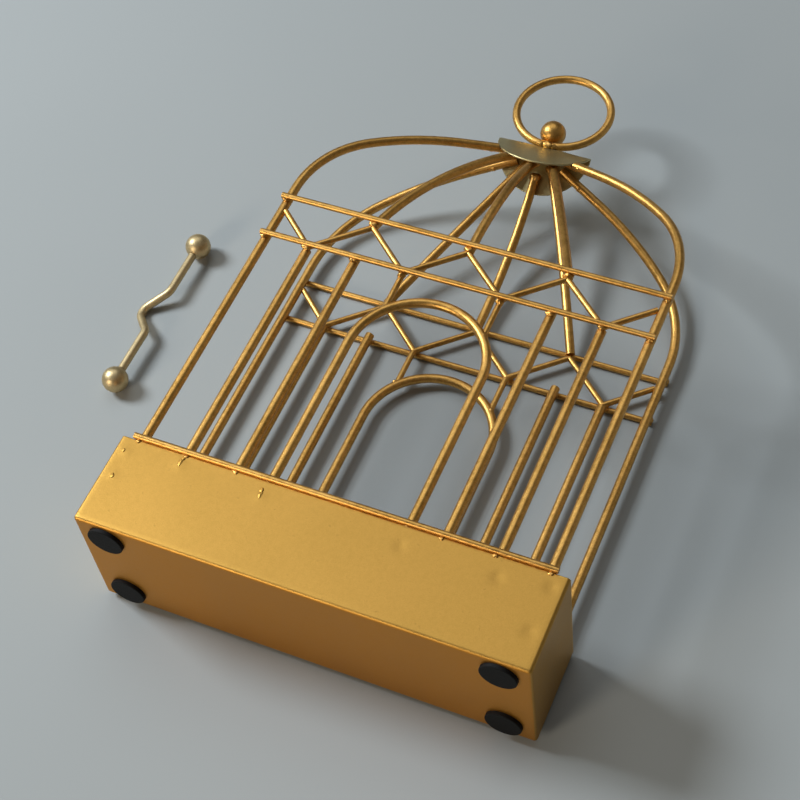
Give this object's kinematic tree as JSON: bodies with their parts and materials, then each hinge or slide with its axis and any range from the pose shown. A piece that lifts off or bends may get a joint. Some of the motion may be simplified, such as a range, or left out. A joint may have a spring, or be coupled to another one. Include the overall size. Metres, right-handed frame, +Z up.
{
  "type": "wire birdcage card box",
  "caption": "Gold wire birdcage on a shallow sheet-metal tray, with arched openings, zigzag frieze, ribbed dome and hanging ring, laid on its back with a loose ball-ended bar beside it.",
  "frame": {"origin": "on the surface that the cage lies on, under the middle of the bounding box of cage and loose bar", "axes": "+Z up off the surface, from the cage's rear panel to its front panel; +Y along the cage's height, from its feet to its ring; +X to the right as its front is seen with the ring away. It lies on its back, as pictured; to stand it on its feet, turn it so that the foot_face mount points down."},
  "size_m": [0.262, 0.3323, 0.066],
  "materials": {
    "gold_paint": "satin metallic gold paint",
    "pale_gold_paint": "satin pale gold paint",
    "black_rubber": "matt"
  },
  "bodies": {
    "cage": {"base_tray": "gold_paint", "crown_cap": "gold_paint", "finial_ball": "gold_paint", "front_arch": "gold_paint", "front_bottom_rail": "gold_paint", "front_left_arch_strut": "gold_paint", "front_left_foot": "black_rubber", "front_left_inner_bar": "gold_paint", "front_left_outer_bar": "gold_paint", "front_left_rib": "gold_paint", "front_left_upright": "gold_paint", "front_lower_rail": "gold_paint", "front_middle_rib": "gold_paint", "front_right_arch_strut": "gold_paint", "front_right_foot": "black_rubber", "front_right_inner_bar": "gold_paint", "front_right_outer_bar": "gold_paint", "front_right_rib": "gold_paint", "front_right_upright": "gold_paint", "front_upper_rail": "gold_paint", "front_zigzag": "gold_paint", "hanging_ring": "gold_paint", "rear_arch": "gold_paint", "rear_bottom_rail": "gold_paint", "rear_left_arch_strut": "gold_paint", "rear_left_foot": "black_rubber", "rear_left_inner_bar": "gold_paint", "rear_left_outer_bar": "gold_paint", "rear_left_rib": "gold_paint", "rear_left_upright": "gold_paint", "rear_lower_rail": "gold_paint", "rear_middle_rib": "gold_paint", "rear_right_arch_strut": "gold_paint", "rear_right_foot": "black_rubber", "rear_right_inner_bar": "gold_paint", "rear_right_outer_bar": "gold_paint", "rear_right_rib": "gold_paint", "rear_right_upright": "gold_paint", "rear_upper_rail": "gold_paint", "rear_zigzag": "gold_paint"},
    "hang_bar": {"hang_bar_far_ball": "pale_gold_paint", "hang_bar_near_ball": "pale_gold_paint", "hang_bar_rod": "pale_gold_paint"}
  },
  "joints": [
    {"name": "hang_bar_lift", "type": "slide", "parent": "cage", "child": "hang_bar", "axis": [0, 0, 1], "range_m": [0, 0.08]}
  ]
}
